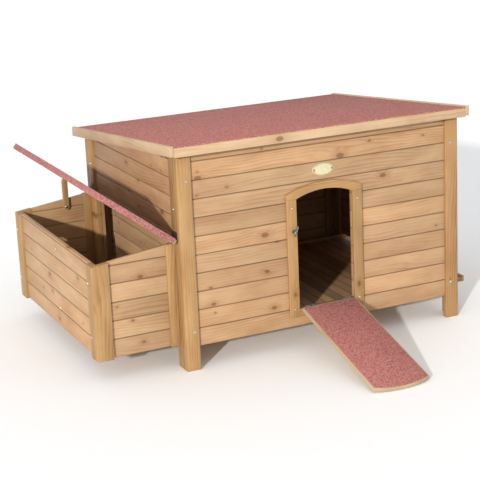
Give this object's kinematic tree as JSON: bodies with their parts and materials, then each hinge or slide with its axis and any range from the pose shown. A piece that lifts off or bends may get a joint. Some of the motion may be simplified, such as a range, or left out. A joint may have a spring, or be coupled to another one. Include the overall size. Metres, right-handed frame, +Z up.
{
  "type": "rabbit hutch",
  "caption": "Raised wooden hutch with a felted lean-to roof, arched doorway with a hinged felted ramp, side nest box with a propped lid and a slide-out tray.",
  "frame": {"origin": "centre of the whole footprint, on the ground", "axes": "+X towards the tray's side, +Y from the doorway to the back wall, +Z up"},
  "size_m": [1.285, 1.298, 0.69],
  "materials": {
    "stiles": "planed softwood, clear honey stain",
    "wall_boards": "planed V-jointed softwood boards, clear honey stain",
    "battens": "sawn softwood, clear honey stain",
    "plywood": "thin softwood plywood, oiled",
    "mineral_felt": "red mineral roofing felt",
    "zinc": "bright zinc plated",
    "cream_plaque": "plain enamel"
  },
  "bodies": {
    "house": {"front_stiles": "stiles", "back_stiles": "stiles", "left_stiles": "stiles", "right_stiles": "stiles", "front_boards": "wall_boards", "back_boards": "wall_boards", "left_boards": "wall_boards", "right_boards": "wall_boards", "corner_cleats": "battens", "side_cleats": "battens", "pass_jamb": "battens", "floor_bearers": "battens", "floor_deck": "plywood", "tray_sill": "wall_boards", "roof_rafters": "battens", "roof_deck": "plywood", "roof_felt": "mineral_felt", "front_fascia": "stiles", "back_fascia": "stiles", "side_fascias": "stiles", "door_jambs": "stiles", "door_header": "stiles", "door_sill": "stiles", "name_plaque": "cream_plaque", "plaque_pins": "zinc", "stile_screws": "zinc", "jamb_screws": "zinc", "ramp_hinge_plates": "zinc", "ramp_hinge_pins": "zinc", "button_spacer": "zinc", "button_screw": "zinc", "nest_posts": "stiles", "nest_end_posts": "stiles", "nest_wall_stiles": "stiles", "nest_end_boards": "wall_boards", "nest_front_boards": "wall_boards", "nest_back_boards": "wall_boards", "nest_end_cleat": "battens", "nest_floor_cleats": "battens", "nest_floor": "plywood", "nest_screws": "zinc", "lid_hinge_plates": "zinc", "lid_hinge_pins": "zinc", "prop_screw": "zinc"},
    "ramp": {"ramp_board": "plywood", "ramp_felt": "mineral_felt", "ramp_hinge_leaves": "zinc"},
    "lid": {"lid_board": "plywood", "lid_felt": "mineral_felt", "lid_hinge_leaves": "zinc"},
    "prop": {"lid_prop": "stiles"},
    "button": {"door_button": "zinc"},
    "tray": {"tray_base": "plywood", "tray_sides": "battens", "tray_front": "stiles", "tray_pull": "stiles"}
  },
  "joints": [
    {"name": "ramp_swing", "type": "hinge", "parent": "house", "child": "ramp", "pos_m": [0.09405, -0.20205, 0.134], "axis": [-1, 0, 0], "range_deg": [0, 105.55]},
    {"name": "lid_swing", "type": "hinge", "parent": "house", "child": "lid", "pos_m": [-0.38405, 0.20705, 0.40202], "axis": [0, 1, 0], "range_deg": [-44.51, 0]},
    {"name": "prop_fold", "type": "hinge", "parent": "house", "child": "prop", "pos_m": [-0.47195, 0.57475, 0.353], "axis": [0, 1, 0], "range_deg": [-100.6, 0]},
    {"name": "button_turn", "type": "hinge", "parent": "house", "child": "button", "pos_m": [-0.01495, -0.21405, 0.374], "axis": [0, 1, 0], "range_deg": [0, 70]},
    {"name": "tray_slide", "type": "slide", "parent": "house", "child": "tray", "axis": [1, 0, 0], "range_m": [-0.075, 0.5]}
  ],
  "couplings": [
    {"joint": "prop_fold", "follows": "lid_swing", "ratio": 2.25}
  ]
}
